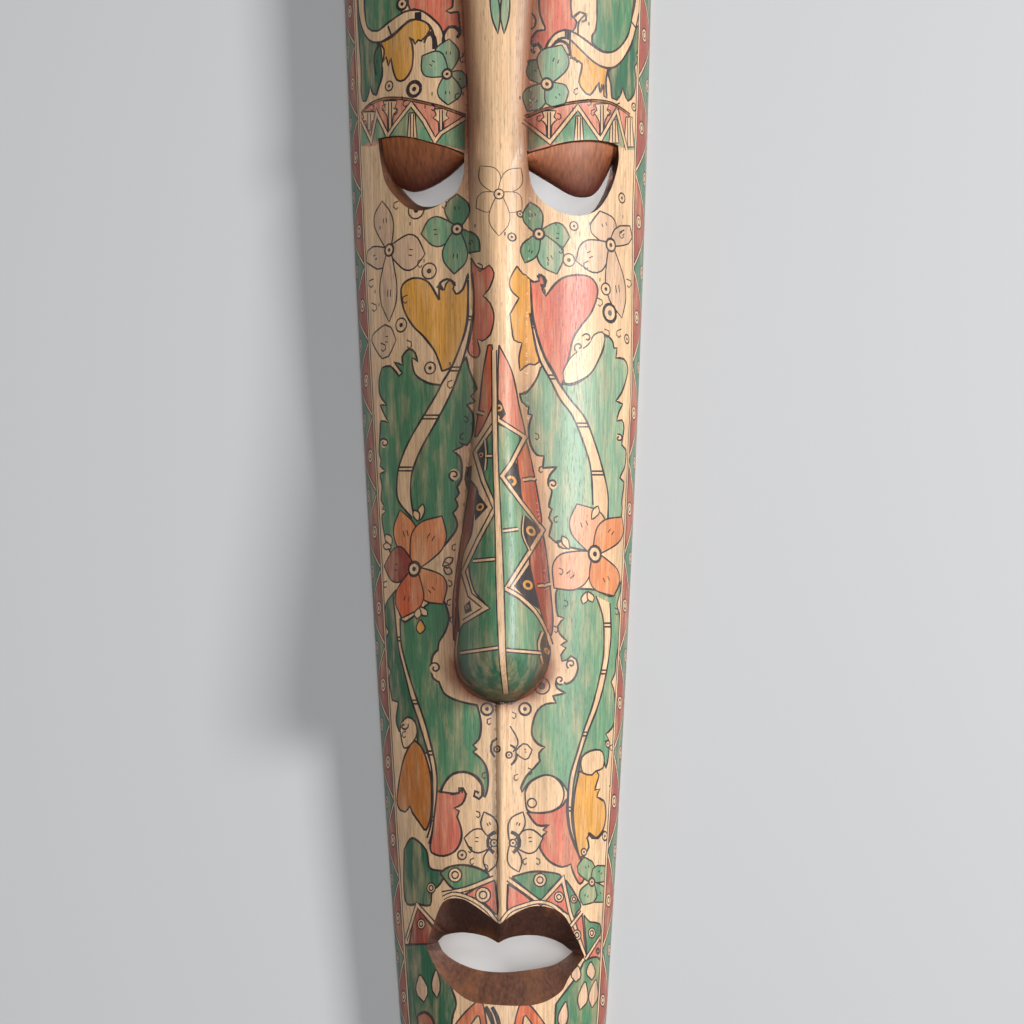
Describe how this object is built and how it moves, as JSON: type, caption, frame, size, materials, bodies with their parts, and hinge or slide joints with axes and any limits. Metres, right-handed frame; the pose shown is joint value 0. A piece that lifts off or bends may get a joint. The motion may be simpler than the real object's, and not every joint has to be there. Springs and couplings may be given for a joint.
{
  "type": "carved wooden wall mask",
  "caption": "Long narrow carved wooden face mask with a hollow back, drooping eyelids, a long rounded nose, a bevelled open mouth and painted floral ornament.",
  "frame": {"origin": "on the surface the mask lies on, under the middle of its length and width", "axes": "+Z out of the face, +Y towards the crown, +X towards the viewer's right"},
  "size_m": [0.2226, 1, 0.1115],
  "materials": {
    "painted_wood": "pale soft wood, stained in green, coral and ochre with dark drawn lines, under satin varnish; lids and lips stained dark brown; back bare"
  },
  "bodies": {
    "root": {"mask": "painted_wood"}
  },
  "joints": []
}
